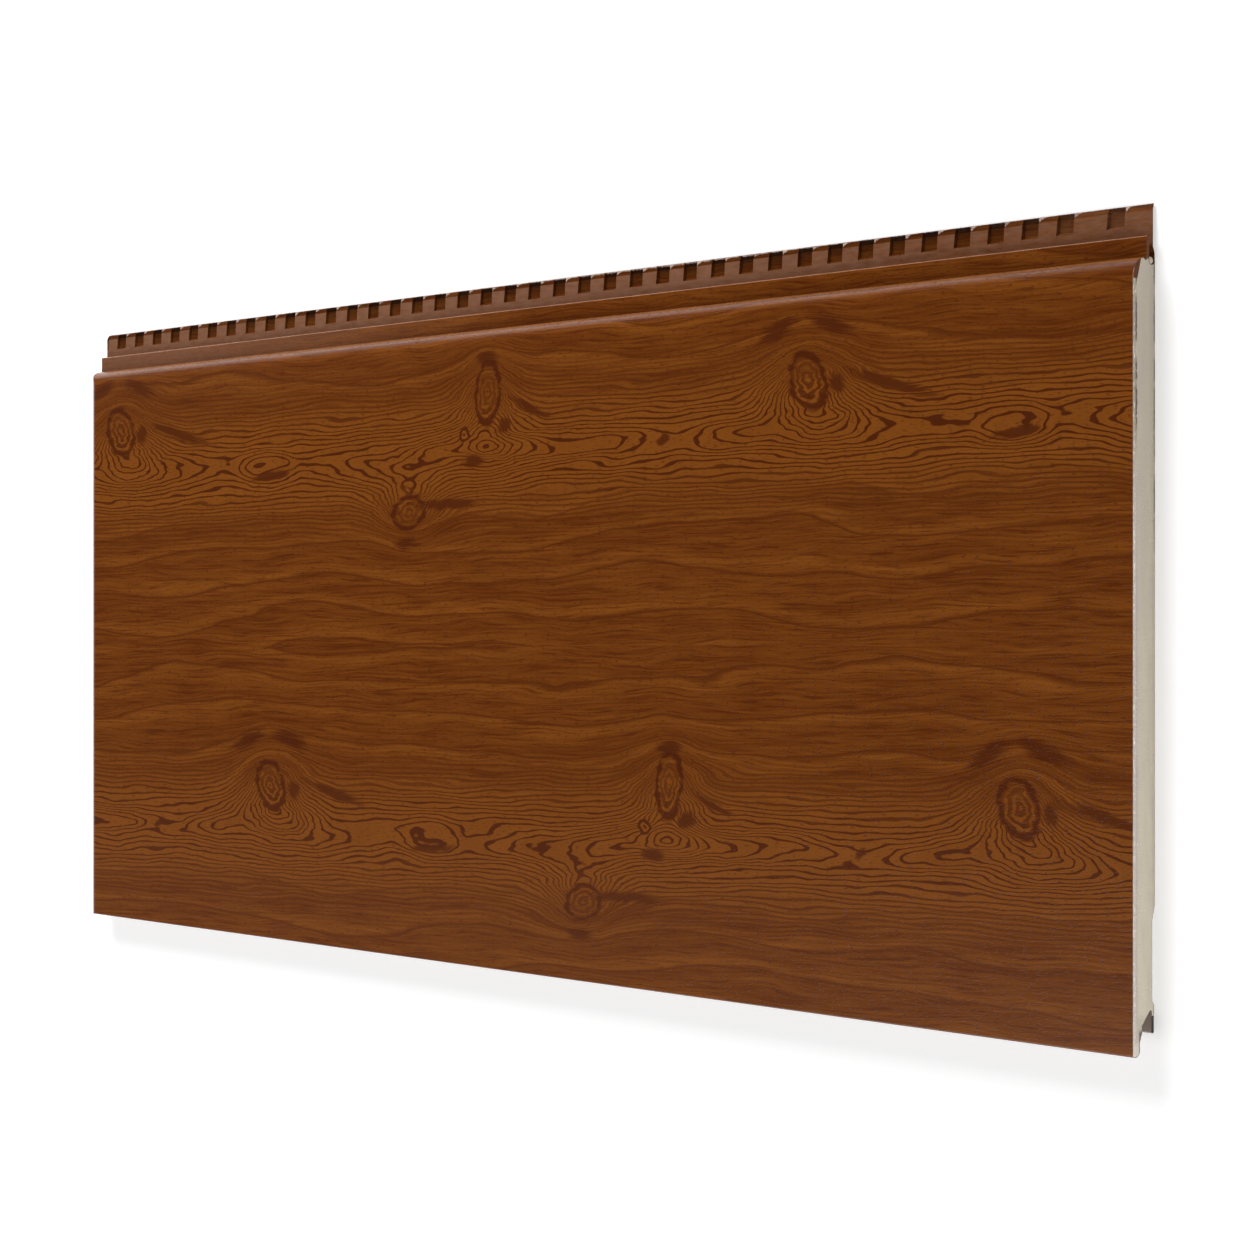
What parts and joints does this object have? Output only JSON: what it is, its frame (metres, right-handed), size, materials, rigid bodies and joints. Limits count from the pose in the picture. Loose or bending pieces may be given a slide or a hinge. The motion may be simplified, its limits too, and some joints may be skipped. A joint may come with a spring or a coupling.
{
  "type": "insulated metal siding panel",
  "caption": "Foam-backed metal siding panel with a wood-grain face, a tongue and crimped nailing flange along the top and a slot with a rear lip along the bottom.",
  "frame": {"origin": "centre of the back of the panel, on the floor it lies on", "axes": "+X along the length towards the end that shows the foam, +Y up the wall from the bottom edge to the nailing flange, +Z out of the painted face"},
  "size_m": [0.965, 0.4094, 0.016],
  "materials": {
    "facing_sheet": "wood-grain print on roll-formed steel, satin clear coat",
    "foam_core": "rigid foam, sawn at the ends",
    "backing_foil": "dull laminated foil"
  },
  "bodies": {
    "root": {"facing_sheet": "facing_sheet", "foam_core": "foam_core", "backing_foil": "backing_foil"}
  },
  "joints": []
}
